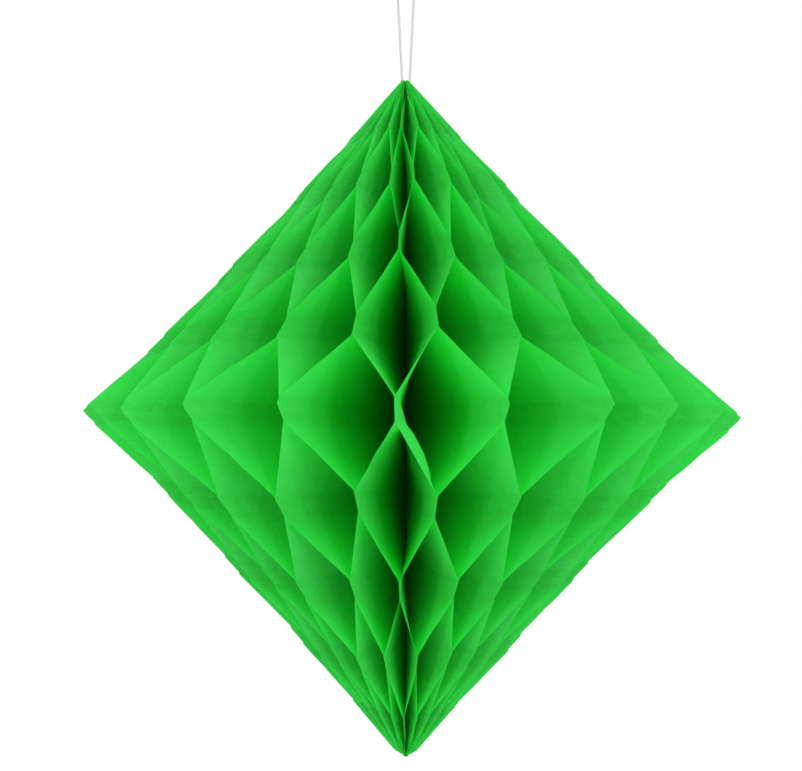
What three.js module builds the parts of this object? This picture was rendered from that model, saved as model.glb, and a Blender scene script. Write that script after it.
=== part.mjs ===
// Honeycomb paper diamond, hung by a loop of string
//
// A stack of half-diamond tissue leaves is glued together along level strips and fanned a full
// turn round a bound spine, so the leaves pull apart into cells. The two card covers that ended
// the stack meet back to back behind, and the string runs through a hole punched in both.
// Millimetres, +Z up, the front faces -Y. The origin is where the loop bears on its hook.

import * as THREE from "three";

// Size of the diamond
const height = 200; // from tip to tip
const halfWidth = 89.3; // spine to the widest corner
const leafCount = 54;

// Glue pattern, measured on the flat leaf
const rowPitch = 20.9; // from one glue strip to the next
const stripWidth = 3.8;
const firstRow = -1.1; // height of the middle glue strip, just under the widest corner
const roundedRows = 1; // walls as far as this many rows from the middle strip get a rounded bend
const roundedShares = [0.3, 0.7]; // how far along such a wall its two extra lines lie
const endMargin = 0.5; // no line lies nearer than this to the end of a leaf

// Paper, card and adhesive
const leafThickness = 0.25;
const glueGap = 0.1; // between two leaves where they are glued
const coverThickness = 0.35;
const tabThickness = 0.1;
const tabClearance = 0.02; // on each face of an adhesive tab
const tabWidth = 10;
const tabHeight = 24;
const tabInset = 12; // from the widest corner of a cover to its tabs
const tabSpread = 14; // height of each tab's middle above or below the widest corner

// Spine
const spineRadius = 2.8;
const spineClearance = 0.2;
const tipRadius = 1.3; // half the width of each blunt tip
const tipWidth = 0.8; // width left at the top and bottom end of a leaf
const spineSides = 16;

// Hole and hanging string
const holeRadius = 1.2;
const holeSegments = 8; // straight pieces in each quarter of the hole
const holeSetback = 9; // from the spine's axis back to the hole
const holeDrop = 14; // from the upper tip down to the hole
const stringDiameter = 0.75;
const stringSides = 8;
const stringSteps = 72;
const loopHeight = 34; // from the upper tip up to where the loop bears
const shortLeaves = 2; // leaves beside each cover that start clear of the string
const shortLeafStart = 11; // how far from the axis they start

// Sizes worked out from those above
const halfHeight = height / 2;
const slope = halfWidth / halfHeight;
const wedge = (2 * Math.PI) / leafCount;
const wallLength = rowPitch - stripWidth;
const leafStart = spineRadius + spineClearance;
const leafLift = (leafThickness + glueGap) / 2;
const coverInside = tabThickness / 2 + tabClearance;
const coverOutside = coverInside + coverThickness;
const axisY = -holeSetback;
const centreZ = -(loopHeight + halfHeight);

// Materials
const tissue = { color: 0x2cc63f, roughness: 0.85, metalness: 0 };
const card = { color: 0x1f9e35, roughness: 0.8, metalness: 0 };
const glue = { color: 0x1d7f2e, roughness: 0.6, metalness: 0 };
const tape = { color: 0xe9efe6, roughness: 0.5, metalness: 0 };
const thread = { color: 0xf4f4f1, roughness: 0.9, metalness: 0 };

const diamond = new THREE.Group();
diamond.position.set(0, axisY, centreZ);

const honeycombDiamond = new THREE.Group();
honeycombDiamond.add(diamond);

function addMesh(group, name, geometry, look) {
  const mesh = new THREE.Mesh(geometry, new THREE.MeshStandardMaterial(look));
  mesh.name = name;
  group.add(mesh);
  return mesh;
}

// Outline that every leaf and cover is cut to
function cutRadius(flat) {
  return slope * (halfHeight - Math.abs(flat));
}

function endHeight(start) {
  return halfHeight - (start + tipWidth) / slope;
}

// Where a height on the flat leaf lies among the glue strips: the nearest strip, the way to
// the next one, and how much of the wall between the two has been crossed
function placeAmongStrips(flat) {
  const row = Math.round((flat - firstRow) / rowPitch);
  const offset = flat - firstRow - row * rowPitch;
  const way = offset < 0 ? -1 : 1;
  const crossed = Math.max(0, (Math.abs(offset) - stripWidth / 2) / wallLength);
  return { row, offset, way, crossed };
}

// A leaf is glued to its left and its right neighbour on alternate strips
function gluedSide(leaf, row) {
  return Math.abs(leaf + row) % 2 === 1 ? 0 : 1;
}

function sideAt(leaf, flat) {
  const { row, way, crossed } = placeAmongStrips(flat);
  const bend = THREE.MathUtils.smoothstep(crossed, 0, 1);
  return THREE.MathUtils.lerp(gluedSide(leaf, row), gluedSide(leaf, row + way), bend);
}

// A wall that leans across its cell stands lower than it was when flat
function openedHeight(flat, swing) {
  const { row, offset, way, crossed } = placeAmongStrips(flat);
  const wallHeight = Math.sqrt(Math.max(0, wallLength ** 2 - swing ** 2));
  const rowHeight = firstRow + row * (stripWidth + wallHeight);
  const inStrip = THREE.MathUtils.clamp(offset, -stripWidth / 2, stripWidth / 2);
  return rowHeight + inStrip + way * crossed * wallHeight;
}

// Angles run round the axis from the covers at the back
function outward(angle) {
  return new THREE.Vector3(Math.sin(angle), Math.cos(angle), 0);
}

function sideways(angle) {
  return new THREE.Vector3(Math.cos(angle), -Math.sin(angle), 0);
}

// One point of a leaf's middle surface, for a height on the flat leaf and a distance from the axis
function leafPoint(leaf, flat, radius) {
  const startLift = leaf === 0 ? coverOutside + glueGap / 2 : 0;
  const endLift = leaf === leafCount - 1 ? coverOutside + glueGap / 2 : 0;
  const left = outward(leaf * wedge).multiplyScalar(radius);
  left.addScaledVector(sideways(leaf * wedge), leafLift + startLift);
  const right = outward((leaf + 1) * wedge).multiplyScalar(radius);
  right.addScaledVector(sideways((leaf + 1) * wedge), -leafLift - endLift);
  const swing = left.distanceTo(right);
  const point = left.lerp(right, sideAt(leaf, flat));
  point.z = openedHeight(flat, swing);
  return point;
}

// Heights on the flat leaf where its surface bends: both edges of each strip, two lines across
// each rounded wall, the widest corner and the two ends
function bendHeights(end) {
  const heights = [0];
  const rows = Math.ceil(halfHeight / rowPitch);
  for (let row = -rows; row <= rows; row += 1) {
    const strip = firstRow + row * rowPitch;
    heights.push(strip - stripWidth / 2, strip + stripWidth / 2);
    const wallStart = strip + stripWidth / 2;
    const rounded = row >= -roundedRows && row < roundedRows;
    if (rounded) {
      heights.push(...roundedShares.map((share) => wallStart + share * wallLength));
    }
  }
  const inside = heights.filter((flat) => Math.abs(flat) < end - endMargin);
  return [-end, ...inside.sort((a, b) => a - b), end];
}

// Closed sheet between two facing grids of points, one row of points for each height
function sheetGeometry(left, right) {
  const rows = left.length;
  const columns = left[0].length;
  const points = [...left.flat(), ...right.flat()];
  const index = [];
  const at = (side, row, column) => (side * rows + row) * columns + column;
  const quad = (a, b, c, d) => index.push(a, c, b, a, d, c);
  for (let row = 0; row < rows - 1; row += 1) {
    for (let column = 0; column < columns - 1; column += 1) {
      quad(at(0, row, column), at(0, row, column + 1), at(0, row + 1, column + 1), at(0, row + 1, column));
      quad(at(1, row, column), at(1, row + 1, column), at(1, row + 1, column + 1), at(1, row, column + 1));
    }
    const last = columns - 1;
    quad(at(0, row, 0), at(0, row + 1, 0), at(1, row + 1, 0), at(1, row, 0));
    quad(at(0, row, last), at(1, row, last), at(1, row + 1, last), at(0, row + 1, last));
  }
  for (let column = 0; column < columns - 1; column += 1) {
    const top = rows - 1;
    quad(at(0, 0, column), at(1, 0, column), at(1, 0, column + 1), at(0, 0, column + 1));
    quad(at(0, top, column), at(0, top, column + 1), at(1, top, column + 1), at(1, top, column));
  }
  const geometry = new THREE.BufferGeometry().setFromPoints(points);
  geometry.setIndex(index);
  geometry.computeVertexNormals();
  return geometry;
}

// Tissue leaf, swinging from strip to strip between its two neighbours
function leafGeometry(leaf) {
  const besideCover = leaf < shortLeaves || leaf >= leafCount - shortLeaves;
  const start = besideCover ? shortLeafStart : leafStart;
  const across = sideways((leaf + 0.5) * wedge).multiplyScalar(leafThickness / 2);
  const left = [];
  const right = [];
  for (const flat of bendHeights(endHeight(start))) {
    const middle = [start, cutRadius(flat)].map((radius) => leafPoint(leaf, flat, radius));
    left.push(middle.map((point) => point.clone().sub(across)));
    right.push(middle.map((point) => point.clone().add(across)));
  }
  return sheetGeometry(left, right);
}

for (let leaf = 0; leaf < leafCount; leaf += 1) {
  const number = String(leaf + 1).padStart(2, "0");
  addMesh(diamond, `leaf_${number}`, leafGeometry(leaf), tissue);
}

// Spine: the leaves' bound edges under a bead of glue, drawn in to a blunt tip at each end
function spineGeometry() {
  const taper = endHeight(leafStart);
  const profile = [
    new THREE.Vector2(0, -halfHeight),
    new THREE.Vector2(tipRadius, -halfHeight),
    new THREE.Vector2(spineRadius, -taper),
    new THREE.Vector2(spineRadius, taper),
    new THREE.Vector2(tipRadius, halfHeight),
    new THREE.Vector2(0, halfHeight),
  ];
  return new THREE.LatheGeometry(profile, spineSides).rotateX(Math.PI / 2);
}

addMesh(diamond, "spine", spineGeometry(), glue);

// Card covers: the cut outline, with the punched hole near the upper tip
function coverGeometry() {
  const end = endHeight(leafStart);
  const outline = new THREE.Shape();
  outline.moveTo(leafStart, -end);
  outline.lineTo(cutRadius(end), -end);
  outline.lineTo(halfWidth, 0);
  outline.lineTo(cutRadius(end), end);
  outline.lineTo(leafStart, end);
  outline.closePath();
  const hole = new THREE.Path();
  hole.absarc(holeSetback, halfHeight - holeDrop, holeRadius, 0, 2 * Math.PI, true);
  outline.holes.push(hole);
  const geometry = new THREE.ExtrudeGeometry(outline, {
    depth: coverThickness,
    bevelEnabled: false,
    curveSegments: holeSegments,
  });
  // The outline's own x runs backwards from the axis and its own y runs up
  const stand = new THREE.Matrix4().makeBasis(
    new THREE.Vector3(0, 1, 0),
    new THREE.Vector3(0, 0, 1),
    new THREE.Vector3(1, 0, 0),
  );
  return geometry.applyMatrix4(stand);
}

addMesh(diamond, "cover_right", coverGeometry(), card).position.x = coverInside;
addMesh(diamond, "cover_left", coverGeometry(), card).position.x = -coverOutside;

// Double-sided adhesive tabs that hold the covers back to back
for (const [name, way] of [["adhesive_tab_upper", 1], ["adhesive_tab_lower", -1]]) {
  const tab = addMesh(diamond, name, new THREE.BoxGeometry(tabThickness, tabWidth, tabHeight), tape);
  tab.position.set(0, cutRadius(tabSpread + tabHeight / 2) - tabInset - tabWidth / 2, way * tabSpread);
}

// Hanging string: from its knot beside the right cover up over the hook, down again and back
// through the hole
const stringRoute = [
  [1.5, 0, -45.6],
  [1.42, 0, -42.5],
  [1.2, 0, -38],
  [1.06, 0, -33.5],
  [1.2, 0, -29],
  [1.55, 0, -22],
  [1.87, 0, -15.5],
  [2.2, 0, -9],
  [2.42, 0, -5],
  [2.48, 0, -2.6],
  [1.76, 0, -0.42],
  [0, 0, 0.375],
  [-1.76, 0, -0.42],
  [-2.48, 0, -2.6],
  [-2.42, 0, -5],
  [-2.2, 0, -9],
  [-1.87, 0, -15.5],
  [-1.55, 0, -22],
  [-1.2, 0, -29],
  [-1.06, 0, -33.5],
  [-1.2, 0, -38],
  [-1.42, 0, -42.5],
  [-1.5, 0, -46.06],
  [-1.3, 0, -46.81],
  [-0.75, 0, -47.36],
  [0, 0, -47.56],
  [0.75, 0, -47.36],
  [1.3, 0, -46.81],
];

function stringGeometry() {
  const section = new THREE.Shape();
  for (let side = 0; side < stringSides; side += 1) {
    const angle = (2 * Math.PI * side) / stringSides;
    const x = (stringDiameter / 2) * Math.cos(angle);
    const y = (stringDiameter / 2) * Math.sin(angle);
    if (side === 0) {
      section.moveTo(x, y);
    } else {
      section.lineTo(x, y);
    }
  }
  section.closePath();
  const route = new THREE.CatmullRomCurve3(stringRoute.map((point) => new THREE.Vector3(...point)));
  return new THREE.ExtrudeGeometry(section, { steps: stringSteps, extrudePath: route });
}

addMesh(honeycombDiamond, "hanging_string", stringGeometry(), thread);

export default honeycombDiamond;
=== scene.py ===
# Honeycomb paper diamond: the looks of its tissue leaves, covers, spine and string
import math

import bpy
import numpy as np
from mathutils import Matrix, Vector


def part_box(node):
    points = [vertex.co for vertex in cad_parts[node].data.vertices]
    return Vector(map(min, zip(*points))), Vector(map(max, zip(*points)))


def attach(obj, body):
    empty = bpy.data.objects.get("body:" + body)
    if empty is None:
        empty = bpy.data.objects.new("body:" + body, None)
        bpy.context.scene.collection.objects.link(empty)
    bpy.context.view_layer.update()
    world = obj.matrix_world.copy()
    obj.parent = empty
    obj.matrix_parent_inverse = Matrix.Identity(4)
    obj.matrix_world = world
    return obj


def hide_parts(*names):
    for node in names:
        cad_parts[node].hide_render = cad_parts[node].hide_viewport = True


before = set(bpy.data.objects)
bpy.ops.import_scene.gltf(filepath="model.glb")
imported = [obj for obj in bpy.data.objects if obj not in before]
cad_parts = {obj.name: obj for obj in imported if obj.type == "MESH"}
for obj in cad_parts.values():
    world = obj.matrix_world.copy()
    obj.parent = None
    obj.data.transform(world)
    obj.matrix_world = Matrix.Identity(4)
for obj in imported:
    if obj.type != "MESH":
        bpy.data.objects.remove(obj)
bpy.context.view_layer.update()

MM = 0.001

# Places read from the frame
spine_low, spine_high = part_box("spine")
AXIS_Y = (spine_low[1] + spine_high[1]) / 2
CENTRE_Z = (spine_low[2] + spine_high[2]) / 2
HALF_HEIGHT = (spine_high[2] - spine_low[2]) / 2
HALF_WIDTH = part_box("cover_left")[1][1] - AXIS_Y
COVER_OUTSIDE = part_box("cover_right")[1][0]
LEAVES = sorted(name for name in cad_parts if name.startswith("leaf_"))
LEAF_COUNT = len(LEAVES)
WEDGE = 2 * math.pi / LEAF_COUNT

# Glue pattern on the flat leaf
ROW_PITCH = 20.94 * MM
STRIP_WIDTH = 3.8 * MM
FIRST_ROW = -1.14 * MM
WALL_LENGTH = ROW_PITCH - STRIP_WIDTH
BEND = 0.06  # share of a wall that curves away from the strip at each end
LEAF_LIFT = 0.06 * MM  # half the distance between two leaves where they are glued

# Cut outline, fitted to the photographed one: straight towards a point just past the blunt
# tip, and a little hollow between
PAST_TIP = 1.36 * MM
TIP_RADIUS = 1.7 * MM  # the lower tip is rounded
HOLLOW_AT = (0, 0.12, 0.25, 0.40, 0.55, 0.70, 0.85, 1)
HOLLOW = (0, -0.30, 0.08, 0.48, 1.00, 0.86, 0.69, 0)  # millimetres, at those shares of the height
LEAN = 0.0080  # the right corner of the diamond hangs a little lower than the left one
TIP_CLEARANCE = 0.4 * MM  # the last height below a tip
SPINE_RADIUS = 1.0 * MM
SPINE_SHORT = 0.5 * MM  # the spine ends this far above the lower tip

# Picture and camera, fitted to the photograph
PHOTO_WIDTH = 802
FOCAL_PIXELS = 753.3
CAMERA_DISTANCE = 222.9 * MM
CAMERA_BELOW = 5.29 * MM
CAMERA_TURN = 0.0278  # its place, turned round the axis to the right
CAMERA_YAW = 0.0453  # it looks this much to the left of the axis
CAMERA_PITCH = 0.0196
SHIFT_X = 0.0370
SHIFT_Y = 0.0430
SENSOR_MM = 36.0

rng = np.random.default_rng(54)


def make_camera():
    data = bpy.data.cameras.new("camera")
    data.sensor_fit = "HORIZONTAL"
    data.sensor_width = SENSOR_MM
    data.lens = SENSOR_MM * FOCAL_PIXELS / PHOTO_WIDTH
    data.shift_x = SHIFT_X
    data.shift_y = SHIFT_Y
    data.clip_start = 0.005
    data.clip_end = 60
    camera = bpy.data.objects.new("camera", data)
    bpy.context.scene.collection.objects.link(camera)
    camera.location = (
        CAMERA_DISTANCE * math.sin(CAMERA_TURN),
        AXIS_Y - CAMERA_DISTANCE * math.cos(CAMERA_TURN),
        CENTRE_Z - CAMERA_BELOW,
    )
    camera.rotation_euler = (math.pi / 2 + CAMERA_PITCH, 0, CAMERA_TURN + CAMERA_YAW)
    bpy.context.scene.camera = camera


make_camera()


# Node helpers
class Nodes:
    """A material's node tree, with short calls for adding and linking nodes."""

    def __init__(self, name):
        self.material = bpy.data.materials.new(name)
        self.material.use_nodes = True
        self.tree = self.material.node_tree
        self.tree.nodes.clear()

    def add(self, kind, inputs=None, **settings):
        node = self.tree.nodes.new(kind)
        for key, value in settings.items():
            setattr(node, key, value)
        for key, value in (inputs or {}).items():
            self.feed(node.inputs[key], value)
        return node

    def feed(self, socket, value):
        if isinstance(value, bpy.types.NodeSocket):
            self.tree.links.new(value, socket)
        else:
            socket.default_value = value

    def math(self, operation, *values):
        node = self.add("ShaderNodeMath", operation=operation)
        for socket, value in zip(node.inputs, values):
            self.feed(socket, value)
        return node.outputs[0]

    def ramp(self, value, *stops):
        node = self.add("ShaderNodeValToRGB", {"Fac": value})
        elements = node.color_ramp.elements
        while len(elements) < len(stops):
            elements.new(0.5)
        for element, (position, level) in zip(elements, stops):
            element.position = position
            element.color = (level, level, level, 1)
        return node.outputs["Color"]

    def mix(self, factor, a, b):
        node = self.add("ShaderNodeMix", data_type="RGBA")
        self.feed(node.inputs[0], factor)
        self.feed(node.inputs[6], a)
        self.feed(node.inputs[7], b)
        return node.outputs[2]

    def noise(self, vector, scale, detail=3.0, roughness=0.5):
        inputs = {"Vector": vector, "Scale": scale, "Detail": detail, "Roughness": roughness}
        return self.add("ShaderNodeTexNoise", inputs).outputs["Fac"]

    def scaled(self, vector, scale):
        node = self.add("ShaderNodeMapping", {"Vector": vector, "Scale": scale})
        return node.outputs["Vector"]

    def bump(self, height, strength, distance, under=None):
        inputs = {"Height": height, "Strength": strength, "Distance": distance}
        if under is not None:
            inputs["Normal"] = under
        return self.add("ShaderNodeBump", inputs).outputs["Normal"]

    def finish(self, shader):
        output = self.add("ShaderNodeOutputMaterial")
        self.tree.links.new(shader, output.inputs["Surface"])
        return self.material


# Tissue: fibres, cloudy pulp, faint glue lines and light through the sheet
TISSUE = (0.094, 0.810, 0.168, 1)
TISSUE_DENSE = (0.074, 0.760, 0.136, 1)
TISSUE_THIN = (0.124, 0.850, 0.208, 1)
TISSUE_THROUGH = (0.018, 0.860, 0.050, 1)
UV_SCALE = 10.0  # UV units for each metre on the flat leaf
LINE_WIDTH = 0.5 * MM  # the faint lines along the fold and the glue
CRINKLE_DEPTH = 0.45 * MM
FIBRE_DEPTH = 0.04 * MM
THROUGH_SHARE = 0.45  # share of the light that goes through the paper


def tissue_material():
    n = Nodes("tissue")
    flat_uv = n.add("ShaderNodeUVMap", uv_map="flat_leaf").outputs["UV"]
    split = n.add("ShaderNodeSeparateXYZ", {"Vector": flat_uv})
    flat_height = n.math("DIVIDE", split.outputs["Y"], UV_SCALE)
    rows = n.math("DIVIDE", n.math("SUBTRACT", flat_height, FIRST_ROW), ROW_PITCH)
    from_row = n.math("MULTIPLY", n.math("PINGPONG", rows, 0.5), ROW_PITCH)

    clouds = n.noise(n.scaled(flat_uv, (9, 9, 9)), 3.0, 4.0, 0.6)
    fibres = n.noise(n.scaled(flat_uv, (30, 190, 30)), 4.0, 3.0, 0.65)
    pulp = n.mix(n.ramp(clouds, (0.36, 0.0), (0.66, 1.0)), TISSUE_DENSE, TISSUE)
    light_fibres = n.ramp(fibres, (0.52, 0.0), (0.74, 0.55))
    paper = n.mix(light_fibres, pulp, TISSUE_THIN)
    crease = n.ramp(n.math("DIVIDE", from_row, LINE_WIDTH), (0.0, 0.4), (1.0, 0.0))
    paper = n.mix(crease, paper, TISSUE_THIN)
    strip_distance = n.math("ABSOLUTE", n.math("SUBTRACT", from_row, STRIP_WIDTH / 2))
    glue_edge = n.ramp(n.math("DIVIDE", strip_distance, LINE_WIDTH), (0.0, 0.28), (1.0, 0.0))
    paper = n.mix(glue_edge, paper, TISSUE_DENSE)

    crinkle = n.noise(n.scaled(flat_uv, (14, 22, 14)), 3.0, 5.0, 0.62)
    normal = n.bump(crinkle, 0.8, CRINKLE_DEPTH)
    normal = n.bump(fibres, 0.35, FIBRE_DEPTH, normal)

    front = n.add(
        "ShaderNodeBsdfPrincipled",
        {"Base Color": paper, "Roughness": 0.75, "Specular IOR Level": 0.35, "Normal": normal},
    )
    through = n.add("ShaderNodeBsdfTranslucent", {"Color": TISSUE_THROUGH, "Normal": normal})
    both = n.add("ShaderNodeMixShader", {0: THROUGH_SHARE})
    n.tree.links.new(front.outputs[0], both.inputs[1])
    n.tree.links.new(through.outputs[0], both.inputs[2])
    return n.finish(both.outputs[0])


# Card: a fine felt grain with slightly scuffed, paler places
def card_material():
    n = Nodes("cover_card")
    place = n.add("ShaderNodeTexCoord").outputs["Object"]
    grain = n.noise(place, 900.0, 4.0, 0.6)
    clouds = n.noise(place, 70.0, 3.0, 0.5)
    colour = n.mix(clouds, (0.016, 0.36, 0.036, 1), (0.024, 0.44, 0.048, 1))
    colour = n.mix(n.ramp(grain, (0.55, 0.0), (0.85, 0.5)), colour, (0.05, 0.52, 0.08, 1))
    normal = n.bump(grain, 0.4, 0.05 * MM)
    shader = n.add(
        "ShaderNodeBsdfPrincipled",
        {"Base Color": colour, "Roughness": 0.7, "Specular IOR Level": 0.3, "Normal": normal},
    )
    return n.finish(shader.outputs[0])


def spine_material():
    n = Nodes("spine_glue")
    place = n.add("ShaderNodeTexCoord").outputs["Object"]
    streaks = n.noise(n.scaled(place, (900, 900, 90)), 1.0, 3.0, 0.6)
    # A darker green than the tissue: painted shade along the axis, where the bound edges sit in
    # shadow. The streaks are the glue's own unevenness.
    colour = n.mix(streaks, (0.020, 0.36, 0.035, 1), (0.035, 0.55, 0.060, 1))
    normal = n.bump(streaks, 0.6, 0.1 * MM)
    shader = n.add(
        "ShaderNodeBsdfPrincipled",
        {"Base Color": colour, "Roughness": 0.5, "Specular IOR Level": 0.4, "Normal": normal},
    )
    return n.finish(shader.outputs[0])


def tape_material():
    n = Nodes("adhesive")
    place = n.add("ShaderNodeTexCoord").outputs["Object"]
    haze = n.noise(place, 300.0, 3.0, 0.5)
    colour = n.mix(haze, (0.72, 0.78, 0.70, 1), (0.85, 0.88, 0.82, 1))
    shader = n.add("ShaderNodeBsdfPrincipled", {"Base Color": colour, "Roughness": 0.45})
    return n.finish(shader.outputs[0])


def string_material():
    n = Nodes("string")
    place = n.add("ShaderNodeUVMap", uv_map="along").outputs["UV"]
    fuzz = n.noise(n.scaled(place, (8, 60, 8)), 6.0, 4.0, 0.7)
    colour = n.mix(fuzz, (0.60, 0.60, 0.59, 1), (0.80, 0.80, 0.79, 1))
    normal = n.bump(fuzz, 0.7, 0.06 * MM)
    shader = n.add(
        "ShaderNodeBsdfPrincipled",
        {
            "Base Color": colour,
            "Roughness": 0.9,
            "Specular IOR Level": 0.2,
            "Sheen Weight": 0.3,
            "Normal": normal,
        },
    )
    return n.finish(shader.outputs[0])


# Mesh helpers
def new_object(name, vertices, faces, material, uv=None, uv_name="UVMap"):
    mesh = bpy.data.meshes.new(name)
    mesh.from_pydata(vertices.tolist(), [], faces.tolist())
    if uv is not None:
        layer = mesh.uv_layers.new(name=uv_name)
        corners = np.empty(len(mesh.loops), np.int32)
        mesh.loops.foreach_get("vertex_index", corners)
        layer.data.foreach_set("uv", uv[corners].astype(np.float32).ravel())
    mesh.polygons.foreach_set("use_smooth", np.ones(len(mesh.polygons), bool))
    mesh.materials.append(material)
    mesh.update()
    made = bpy.data.objects.new(name, mesh)
    bpy.context.scene.collection.objects.link(made)
    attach(made, "root")
    return made


def grid_faces(rows, columns, closed_columns=False):
    across = columns if closed_columns else columns - 1
    row, column = np.meshgrid(np.arange(rows - 1), np.arange(across), indexing="ij")
    after = (column + 1) % columns
    corners = [row * columns + column, row * columns + after]
    corners += [(row + 1) * columns + after, (row + 1) * columns + column]
    return np.stack([c.ravel() for c in corners], axis=1)


# String: a twisted cord swept along the route
STRING_DIAMETER = 0.75 * MM
STRING_STEP = 0.25 * MM
PLIES = 3
LAY = 2.2 * MM  # along the string, for one turn of a ply
PLY_DEPTH = 0.16  # of the radius, between two plies
CORD_SIDES = 24
KNOT_SIZE = 0.42 * MM
KNOT_SHARE = 0.4  # radius of the knot's strand, as a share of the string's diameter
STRING_ROUTE = [
    (1.5, 0, -45.6),
    (1.42, 0, -42.5),
    (1.2, 0, -38),
    (1.06, 0, -33.5),
    (1.2, 0, -29),
    (1.55, 0, -22),
    (1.87, 0, -15.5),
    (2.2, 0, -9),
    (2.42, 0, -5),
    (2.48, 0, -2.6),
    (1.76, 0, -0.42),
    (0, 0, 0.375),
    (-1.76, 0, -0.42),
    (-2.48, 0, -2.6),
    (-2.42, 0, -5),
    (-2.2, 0, -9),
    (-1.87, 0, -15.5),
    (-1.55, 0, -22),
    (-1.2, 0, -29),
    (-1.06, 0, -33.5),
    (-1.2, 0, -38),
    (-1.42, 0, -42.5),
    (-1.5, 0, -46.06),
    (-1.3, 0, -46.81),
    (-0.75, 0, -47.36),
    (0, 0, -47.56),
    (0.75, 0, -47.36),
    (1.3, 0, -46.81),
]


def smooth_line(points, step):
    """Points at an even step along a centripetal curve through the given ones."""
    points = np.array(points, float)
    padded = np.vstack([2 * points[0] - points[1], points, 2 * points[-1] - points[-2]])
    fine = []
    for p0, p1, p2, p3 in zip(padded, padded[1:], padded[2:], padded[3:]):
        t1 = np.linalg.norm(p1 - p0) ** 0.5
        t2 = t1 + np.linalg.norm(p2 - p1) ** 0.5
        t3 = t2 + np.linalg.norm(p3 - p2) ** 0.5
        t = np.linspace(t1, t2, 24, endpoint=False)[:, None]
        a1 = (t1 - t) / t1 * p0 + t / t1 * p1
        a2 = (t2 - t) / (t2 - t1) * p1 + (t - t1) / (t2 - t1) * p2
        a3 = (t3 - t) / (t3 - t2) * p2 + (t - t2) / (t3 - t2) * p3
        b1 = (t2 - t) / t2 * a1 + t / t2 * a2
        b2 = (t3 - t) / (t3 - t1) * a2 + (t - t1) / (t3 - t1) * a3
        fine.append((t2 - t) / (t2 - t1) * b1 + (t - t1) / (t2 - t1) * b2)
    fine = np.vstack(fine + [points[-1:]])
    run = np.concatenate([[0], np.cumsum(np.linalg.norm(np.diff(fine, axis=0), axis=1))])
    even = np.linspace(0, run[-1], max(2, int(round(run[-1] / step)) + 1))
    return np.stack([np.interp(even, run, fine[:, i]) for i in range(3)], axis=1), run[-1]


def twisted_tube(name, line, radius, material):
    """A cord of a few plies laid round each other, swept along a line of points."""
    along = np.gradient(line, axis=0)
    along /= np.linalg.norm(along, axis=1)[:, None]
    side = np.cross(along[0], (0, 1, 0))
    if np.linalg.norm(side) < 0.1:
        side = np.cross(along[0], (1, 0, 0))
    sides_at = []
    for direction in along:
        side = side - direction * side.dot(direction)
        side /= np.linalg.norm(side)
        sides_at.append(side)
    side = np.array(sides_at)
    up = np.cross(along, side)
    run = np.concatenate([[0], np.cumsum(np.linalg.norm(np.diff(line, axis=0), axis=1))])
    around = np.linspace(0, 2 * math.pi, CORD_SIDES, endpoint=False)
    ply_angle = PLIES / 2 * (around[None, :] - 2 * math.pi * run[:, None] / LAY)
    reach = radius * (1 - PLY_DEPTH + PLY_DEPTH * np.abs(np.cos(ply_angle)))
    reach[[0, -1]] *= 0.35
    ring = side[:, None] * np.cos(around)[None, :, None] + up[:, None] * np.sin(around)[None, :, None]
    points = line[:, None] + ring * reach[:, :, None]
    vertices = points.reshape(-1, 3)
    faces = grid_faces(len(line), CORD_SIDES, closed_columns=True)
    uv = np.stack(np.broadcast_arrays(run[:, None] * 100, around[None, :] / 6), axis=-1)
    return new_object(name, vertices, faces, material, uv.reshape(-1, 2), "along")


def make_string(material):
    route = [tuple(v * MM for v in point) for point in STRING_ROUTE]
    line, length = smooth_line(route, STRING_STEP)
    string = twisted_tube("hanging_loop_string", line, STRING_DIAMETER / 2, material)
    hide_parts("hanging_string")
    turns = np.linspace(0.0, 2 * math.pi, 160)
    trefoil = KNOT_SIZE * np.stack(
        [
            np.cos(3 * turns) * 0.8,
            (np.sin(turns) + 2 * np.sin(2 * turns)) * 0.75,
            (np.cos(turns) - 2 * np.cos(2 * turns)) * 0.75,
        ],
        axis=1,
    )
    middle = (np.array(route[0]) + np.array(route[-1])) / 2
    knot = twisted_tube("string_knot", trefoil + middle, STRING_DIAMETER * KNOT_SHARE, material)


make_string(string_material())


# Leaf shape
def cut_radius(flat):
    """How far out the leaves are cut at a height on the flat leaf. Along each strip the cut
    draws in a little faster, so it's straight once the walls between the strips have leaned."""
    height = np.abs(flat)
    straight = HALF_WIDTH * (1 - height / (HALF_HEIGHT + PAST_TIP))
    cut = straight - np.interp(height / HALF_HEIGHT, HOLLOW_AT, HOLLOW) * MM
    row = np.floor((flat - FIRST_ROW) / ROW_PITCH)
    offset = flat - FIRST_ROW - row * ROW_PITCH
    wall = np.sqrt(WALL_LENGTH**2 - (cut * WEDGE) ** 2)
    on_wall = np.clip(offset - STRIP_WIDTH / 2, 0, WALL_LENGTH)
    opened = (offset - on_wall + on_wall / WALL_LENGTH * wall) / (STRIP_WIDTH + wall)
    drawn_in = HALF_WIDTH / HALF_HEIGHT * (opened * ROW_PITCH - offset)
    cut = cut - drawn_in * np.where(row < 0, -1, 1)
    past = np.clip(TIP_RADIUS - HALF_HEIGHT - flat, 0, TIP_RADIUS)
    return np.where(past > 0, np.minimum(cut, np.sqrt(TIP_RADIUS**2 - past**2)), cut)


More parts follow.
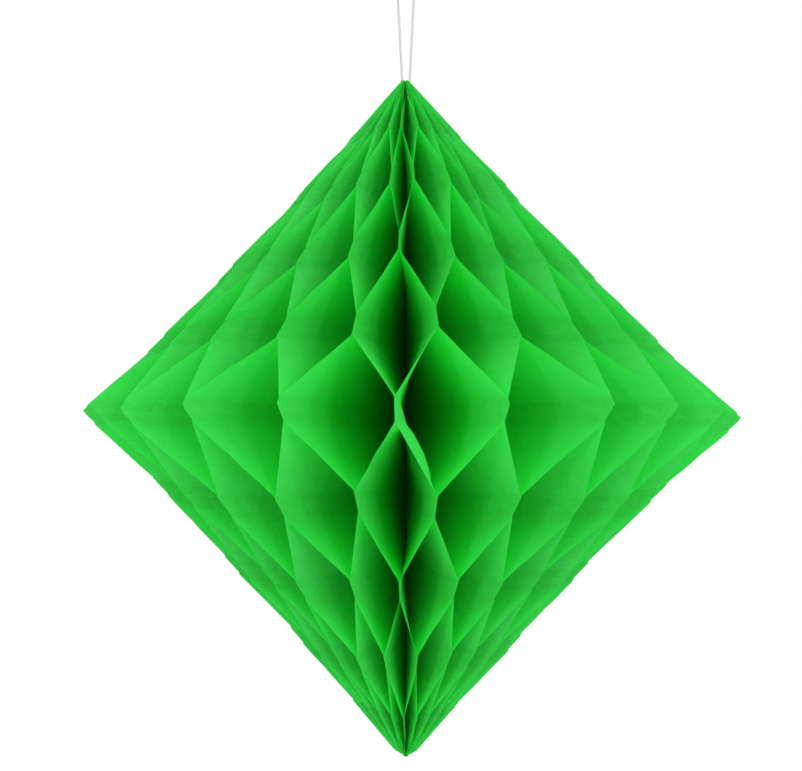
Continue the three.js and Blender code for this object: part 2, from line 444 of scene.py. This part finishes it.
def flat_heights():
    """Heights on the flat leaf: close together where a wall bends, on every strip and wall."""
    count = math.ceil(HALF_HEIGHT / ROW_PITCH) + 1
    wall = np.unique(np.concatenate([np.linspace(0, BEND, 3), np.linspace(BEND, 1 - BEND, 11)]))
    wall = np.unique(np.concatenate([wall, 1 - wall]).round(6))
    heights = []
    for row in range(-count, count + 1):
        strip = FIRST_ROW + row * ROW_PITCH
        heights.extend(strip + np.array([-0.5, 0.0]) * STRIP_WIDTH)
        heights.extend(strip + STRIP_WIDTH / 2 + wall[:-1] * WALL_LENGTH)
    heights = np.array([h for h in heights if abs(h) < HALF_HEIGHT - TIP_CLEARANCE])
    tips = [-HALF_HEIGHT, 0.0, HALF_HEIGHT]
    return np.unique(np.concatenate([heights, tips]).round(7))


def wall_share(crossed):
    """How far across its cell a wall has swung, for how much of it has been passed."""
    u = np.clip(crossed, 0, 1)
    start = u**2 / (2 * BEND * (1 - BEND))
    middle = (u - BEND / 2) / (1 - BEND)
    end = 1 - (1 - u) ** 2 / (2 * BEND * (1 - BEND))
    return np.where(u < BEND, start, np.where(u > 1 - BEND, end, middle))


def strip_height(row, radius):
    """Height of a strip's middle: a wall that leans across its cell stands lower than it was."""
    lean = np.minimum(radius * WEDGE / WALL_LENGTH, 0.95)
    return FIRST_ROW + row * (STRIP_WIDTH + WALL_LENGTH * np.sqrt(1 - lean**2))


ROWS = math.ceil(HALF_HEIGHT / ROW_PITCH) + 2
FRONT = LEAF_COUNT // 2

# Strips at the front that sit off their even place, fitted to glue points measured in the
# photograph and then rounded: for each row, counted up from the middle one, the boundary
# beside the front one, its turn in wedges and its rise in millimetres
FRONT_STRIPS = {
    4: [(0, 0.4, 0)],
    3: [(-5, 0, -2.5), (-3, 0, 1), (-1, 0.2, 1), (1, -0.3, 0), (3, -0.2, 0), (5, 0.15, -2)],
    2: [(-4, 0.15, -1.5), (-2, 0, -1), (0, 0, 0.5), (2, -0.2, -1), (4, -0.1, -1.5)],
    1: [(-7, 0.2, 0), (-5, 0.2, -0.5), (-3, 0, -0.5), (-1, 0, 1), (1, 0, -0.5), (3, -0.1, -0.5)],
    0: [
        (-12, 0, 0), (-10, 0, -0.5), (-8, 0.2, 0.5), (-6, 0.15, 1), (-4, -0.15, 1),
        (-2, -0.05, 0.5), (0, -0.05, 0.5), (2, 0.05, 0.5), (4, 0.15, 0.5), (6, 0.2, 0),
    ],
    -1: [(-7, 0.2, -1), (-5, 0, -1), (-3, -0.1, 0), (1, 0, 1), (3, 0.1, -1), (5, 0, -1.5)],
    -2: [(-4, 0, -0.5), (-2, -0.2, 0.5), (2, -0.15, 0), (4, 0.15, -1.5)],
    -3: [(-3, -0.25, 0.5), (1, 0.15, -0.5), (3, 0, -1.5)],
    -4: [(0, 0.1, -1)],
}
CALM_STRIPS = 5  # so many boundaries to each side of the front have no random unevenness

MIDDLE_RISE = 0.8 * MM  # the middle strips stand a little high all round
TURN_SPREAD = 0.06 * WEDGE
RISE_SPREAD = 0.4 * MM
SIDE_SHARE = 0.3  # at the sides of the outline the strips rise unevenly by only this share
# Elsewhere the unevenness is random, but the strips glued to the covers don't turn
STRIP_TURN = rng.normal(0, 1, (LEAF_COUNT + 1, 2 * ROWS + 1)) * TURN_SPREAD
STRIP_RISE = rng.normal(0, 1, (LEAF_COUNT + 1, 2 * ROWS + 1)) * RISE_SPREAD
facing = np.abs(np.cos(np.arange(LEAF_COUNT + 1) * WEDGE))[:, None]
STRIP_RISE *= SIDE_SHARE + (1 - SIDE_SHARE) * facing
STRIP_TURN[FRONT - CALM_STRIPS : FRONT + CALM_STRIPS + 1] = 0
STRIP_RISE[FRONT - CALM_STRIPS : FRONT + CALM_STRIPS + 1] = 0
STRIP_RISE[:, ROWS] += MIDDLE_RISE
for row, strips in FRONT_STRIPS.items():
    for beside, turn, rise in strips:
        STRIP_TURN[FRONT + beside, row + ROWS] = turn * WEDGE
        STRIP_RISE[FRONT + beside, row + ROWS] = rise * MM
STRIP_TURN[[0, LEAF_COUNT]] = 0


def smooth_noise(shape, cells, generator):
    """Random values between -1 and 1 that change smoothly over a grid."""
    coarse = generator.uniform(-1, 1, cells)
    across = [np.linspace(0, c - 1, s) for s, c in zip(shape, cells)]
    first = np.empty((shape[0], cells[1]))
    for j in range(cells[1]):
        first[:, j] = cosine_steps(across[0], coarse[:, j])
    whole = np.empty(shape)
    for i in range(shape[0]):
        whole[i] = cosine_steps(across[1], first[i])
    return whole


def cosine_steps(place, values):
    low = np.clip(place.astype(int), 0, len(values) - 2)
    part = (1 - np.cos(math.pi * (place - low))) / 2
    return values[low] * (1 - part) + values[low + 1] * part


def glued_boundary(leaf, row):
    """The side of its wedge, left or right, that a leaf is glued to along a strip."""
    return leaf if (leaf + row) % 2 else leaf + 1


def boundary_points(leaf, boundary, turn, radius):
    """Points of a leaf where it lies along one side of its wedge."""
    angle = boundary * WEDGE + turn
    left = boundary == leaf
    lift = LEAF_LIFT
    if boundary in (0, LEAF_COUNT):
        lift = COVER_OUTSIDE + LEAF_LIFT
    lift = lift if left else -lift
    x = radius * np.sin(angle) + lift * np.cos(angle)
    y = radius * np.cos(angle) - lift * np.sin(angle)
    return np.stack([x, y], axis=-1)


COVER_LEAF_START = (5.0 * MM, 4.0 * MM)  # of the two leaves next to each cover
STRING_CLEARANCE = 11 * MM  # those leaves keep this far from the axis beside the string
STRING_FROM = 80 * MM  # height on the flat leaf from which they begin to draw back
STRING_RAMP = 5 * MM


def leaf_start(leaf, flat):
    """Distance from the axis at which a leaf begins: further out beside the covers, and clear
    of the string near the upper tip."""
    beside = min(leaf, LEAF_COUNT - 1 - leaf)
    if beside >= len(COVER_LEAF_START):
        return np.full_like(flat, SPINE_RADIUS)
    base = COVER_LEAF_START[beside]
    clear = np.clip((flat - STRING_FROM) / STRING_RAMP, 0, 1)
    return base + (STRING_CLEARANCE - base) * clear**2 * (3 - 2 * clear)


COLUMNS = 26
CROWDING = 1.25  # the higher this is, the closer the columns stand at the cut edge
NARROWEST = 0.15 * MM  # a leaf ends where it would be narrower than this
CALM_TIP = 12 * MM  # the unevenness dies away over this height below each tip
RISE_FADE = 0.7  # the lower this is, the deeper a strip's rise reaches into the leaf
BULGE = 0.06  # how far a wall swells out of its plane behind its cut edge, in wedges
FLUTTER = 0.014  # and how far its small waves go, as a share of its swing
FLUTTER_CELLS = (60, 6)  # waves up the leaf and across it
BULGE_PLACE = 6  # the higher this is, the nearer the swelling comes to the cut edge
# The two walls below the middle front strip curl far. For each leaf beside the front one: its
# curl in wedges, from the foot of that wall up past the strip, where both leaves keep together
CURL_STEP = 0.2  # share of a wall between two of the values
CURL_ROW = -1
FRONT_CURLS = {
    -1: (0, -0.14, -0.26, -0.30, -0.28, -0.19, -0.08, 0),
    0: (0, 0.03, 0.10, 0.10, 0, -0.19, -0.08, 0),
}


def radii(leaf, flat, out):
    """Distances from the axis, for heights on the flat leaf and shares of its width there."""
    start = leaf_start(leaf, flat)
    return start[:, None] + out[None, :] * (cut_radius(flat) - start)[:, None]


def strip_places(leaf, row, radius):
    """Plan points of a leaf on the strips of the given rows, and how far those strips rise."""
    points, rise = np.empty(radius.shape + (2,)), np.empty(len(row))
    for r in np.unique(row):
        at = row == r
        boundary = glued_boundary(leaf, r)
        turn = STRIP_TURN[boundary, r + ROWS]
        points[at] = boundary_points(leaf, boundary, turn, radius[at])
        rise[at] = STRIP_RISE[boundary, r + ROWS]
    return points, rise


def wall_bulge(leaf, row, along, between, generator):
    """How far a leaf swells to one side behind its cut edge at each height, in wedges."""
    bulge = generator.normal(0, BULGE, 2 * ROWS + 1)[row + ROWS] * between
    if leaf - FRONT in FRONT_CURLS:
        curl = np.array(FRONT_CURLS[leaf - FRONT], float)
        place = (along + (row - CURL_ROW) * ROW_PITCH) / WALL_LENGTH / CURL_STEP
        bulge = np.where(row == CURL_ROW, 0, bulge)
        bulge += cosine_steps(np.clip(place, 0, len(curl) - 1), curl)
    return bulge


def leaf_grid(leaf, generator):
    """One leaf's points, faces and UVs, as a grid of heights by distances from the axis."""
    flat = flat_heights()
    flat = flat[cut_radius(flat) - leaf_start(leaf, flat) > NARROWEST]
    out = 1 - (1 - np.linspace(0, 1, COLUMNS)) ** CROWDING
    radius = radii(leaf, flat, out)
    shape = radius.shape

    row = np.floor((flat - FIRST_ROW) / ROW_PITCH).astype(int)
    strip = FIRST_ROW + row * ROW_PITCH
    along = flat - strip - STRIP_WIDTH / 2
    crossed = np.clip(along / WALL_LENGTH, 0, 1)
    in_strip = np.minimum(along, 0) + np.maximum(along - WALL_LENGTH, 0)

    # Between two strips the paper is drawn straight from the edge of one to that of the other
    low_edge = strip + STRIP_WIDTH / 2
    high_edge = low_edge + WALL_LENGTH
    drawn = (crossed > 0) & (crossed < 1)
    drawn &= np.maximum(np.abs(low_edge), np.abs(high_edge)) < HALF_HEIGHT
    low_radius = radii(leaf, np.where(drawn, low_edge, flat), out)
    high_radius = radii(leaf, np.where(drawn, high_edge, flat), out)
    low, low_rise = strip_places(leaf, row, low_radius)
    high, high_rise = strip_places(leaf, row + 1, high_radius)

    share = wall_share(crossed)[:, None]
    between = np.sin(math.pi * crossed) ** 2
    flutter = smooth_noise(shape, FLUTTER_CELLS, generator)
    plan = low + (high - low) * (share + between[:, None] * FLUTTER * flutter)[..., None]

    # Behind its cut edge a wall swells to one side
    bulge = wall_bulge(leaf, row, along, between, generator)
    behind_edge = (1 - out) * out**BULGE_PLACE
    turned = bulge[:, None] * behind_edge / behind_edge.max() * WEDGE
    plan = plan + np.stack([plan[..., 1], -plan[..., 0]], axis=-1) * turned[..., None]

    low_height = strip_height(row[:, None], low_radius) + STRIP_WIDTH / 2
    high_height = strip_height(row[:, None] + 1, high_radius) - STRIP_WIDTH / 2
    passed = crossed[:, None]
    height = low_height * (1 - passed) + high_height * passed + in_strip[:, None]
    outer = (radius / cut_radius(flat)[:, None]) ** RISE_FADE
    uneven = low_rise[:, None] * (1 - passed) + high_rise[:, None] * passed
    calm = np.clip((HALF_HEIGHT - np.abs(flat)) / CALM_TIP, 0, 1)[:, None]
    height = height + uneven * outer * calm - LEAN * plan[..., 0]

    points = np.concatenate([plan, height[..., None]], axis=-1)
    points += np.array([0, AXIS_Y, CENTRE_Z])
    uv = np.stack(np.broadcast_arrays(radius, flat[:, None]), axis=-1) * UV_SCALE
    uv = uv + np.array([leaf * 3.0, 0])
    return points.reshape(-1, 3), grid_faces(*shape), uv.reshape(-1, 2)


def make_leaves(material):
    for leaf, node in enumerate(LEAVES):
        vertices, faces, uv = leaf_grid(leaf, np.random.default_rng(1000 + leaf))
        tissue = new_object("tissue_" + node, vertices, faces, material, uv, "flat_leaf")
        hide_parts(node)


make_leaves(tissue_material())


# Spine: the bound inner edges, a slim ribbed core with blunt ends
def make_spine(material):
    low, high = -HALF_HEIGHT + SPINE_SHORT, HALF_HEIGHT
    heights = low + (high - low) * (1 + np.sin(np.linspace(-0.5, 0.5, 121) * math.pi)) / 2
    around = np.linspace(0, 2 * math.pi, 4 * LEAF_COUNT, endpoint=False)
    end = np.clip(np.minimum(high - heights, heights - low) / SPINE_RADIUS, 0, 1)
    girth = SPINE_RADIUS * (0.2 + 0.8 * np.sqrt(1 - (1 - end) ** 2))
    ribs = 1 + 0.06 * np.cos(around * LEAF_COUNT)
    reach = girth[:, None] * ribs[None, :]
    x = reach * np.sin(around)
    y = reach * np.cos(around) + AXIS_Y
    z = np.broadcast_to((heights + CENTRE_Z)[:, None], x.shape)
    points = np.stack([x, y, z], axis=-1).reshape(-1, 3)
    faces = grid_faces(len(heights), len(around), closed_columns=True).tolist()
    count = len(around)
    faces.append(list(range(count))[::-1])
    faces.append([(len(heights) - 1) * count + i for i in range(count)])
    mesh = bpy.data.meshes.new("bound_edges")
    mesh.from_pydata(points.tolist(), [], faces)
    mesh.materials.append(material)
    mesh.update()
    spine = bpy.data.objects.new("bound_edges", mesh)
    bpy.context.scene.collection.objects.link(spine)
    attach(spine, "root")
    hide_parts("spine")


make_spine(spine_material())


def paint(node, material):
    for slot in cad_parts[node].material_slots:
        slot.material = material


card = card_material()
paint("cover_left", card)
paint("cover_right", card)
tape = tape_material()
paint("adhesive_tab_upper", tape)
paint("adhesive_tab_lower", tape)


# Studio: a pale floor well below, an even dome of light and a white background
FLOOR_DROP = 0.45
FLOOR_GLOW = 0.5  # lifts the lit floor to white where it's seen
DOME_LEVEL = 0.80
LAMP_RISE = 0.10
# Each soft lamp: its turn round from the front, distance, width, height and watts
LAMPS = {
    "lamp_left": (-28, 1.3, 0.12, 0.30, 2.3),
    "lamp_right": (28, 1.3, 0.12, 0.30, 2.3),
    "lamp_side": (45, 1.3, 0.12, 0.30, 1.9),
}


def make_floor():
    mesh = bpy.data.meshes.new("floor")
    size = 12.0
    corners = [(-size, -size, 0), (size, -size, 0), (size, size, 0), (-size, size, 0)]
    mesh.from_pydata(corners, [], [(0, 1, 2, 3)])
    floor = bpy.data.objects.new("floor", mesh)
    bpy.context.scene.collection.objects.link(floor)
    floor.location = (0, 0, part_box("spine")[0][2] - FLOOR_DROP)
    n = Nodes("floor")
    diffuse = n.add("ShaderNodeBsdfDiffuse", {"Color": (0.78, 0.78, 0.78, 1)})
    rays = n.add("ShaderNodeLightPath")
    seen = n.math("MAXIMUM", rays.outputs["Is Camera Ray"], rays.outputs["Is Glossy Ray"])
    seen = n.math("MAXIMUM", seen, rays.outputs["Is Transmission Ray"])
    white = n.add("ShaderNodeEmission", {"Strength": n.math("MULTIPLY", seen, FLOOR_GLOW)})
    both = n.add("ShaderNodeAddShader")
    n.tree.links.new(diffuse.outputs[0], both.inputs[0])
    n.tree.links.new(white.outputs[0], both.inputs[1])
    mesh.materials.append(n.finish(both.outputs[0]))


def make_lamps():
    middle = Vector((0, AXIS_Y, CENTRE_Z))
    for name, (turn, distance, width, height, watts) in LAMPS.items():
        data = bpy.data.lights.new(name, "AREA")
        data.shape = "RECTANGLE"
        data.size = width
        data.size_y = height
        data.energy = watts
        lamp = bpy.data.objects.new(name, data)
        bpy.context.scene.collection.objects.link(lamp)
        across = distance * math.sin(math.radians(turn))
        ahead = -distance * math.cos(math.radians(turn))
        lamp.location = middle + Vector((across, ahead, LAMP_RISE))
        lamp.rotation_euler = (middle - lamp.location).to_track_quat("-Z", "Y").to_euler()


def make_world():
    world = bpy.data.worlds.new("studio")
    bpy.context.scene.world = world
    world.use_nodes = True
    tree = world.node_tree
    tree.nodes.clear()
    rays = tree.nodes.new("ShaderNodeLightPath")
    seen = tree.nodes.new("ShaderNodeMath")
    seen.operation = "MAXIMUM"
    tree.links.new(rays.outputs["Is Camera Ray"], seen.inputs[0])
    also = tree.nodes.new("ShaderNodeMath")
    also.operation = "MAXIMUM"
    tree.links.new(rays.outputs["Is Glossy Ray"], also.inputs[0])
    tree.links.new(rays.outputs["Is Transmission Ray"], also.inputs[1])
    tree.links.new(also.outputs[0], seen.inputs[1])
    dome = tree.nodes.new("ShaderNodeBackground")
    dome.inputs["Color"].default_value = (1, 1, 1, 1)
    dome.inputs["Strength"].default_value = DOME_LEVEL
    white = tree.nodes.new("ShaderNodeBackground")
    white.inputs["Color"].default_value = (1, 1, 1, 1)
    white.inputs["Strength"].default_value = 1.0
    mix = tree.nodes.new("ShaderNodeMixShader")
    tree.links.new(seen.outputs[0], mix.inputs[0])
    tree.links.new(dome.outputs[0], mix.inputs[1])
    tree.links.new(white.outputs[0], mix.inputs[2])
    output = tree.nodes.new("ShaderNodeOutputWorld")
    tree.links.new(mix.outputs[0], output.inputs["Surface"])


make_floor()
make_lamps()
make_world()

bpy.context.scene.view_settings.view_transform = "Standard"
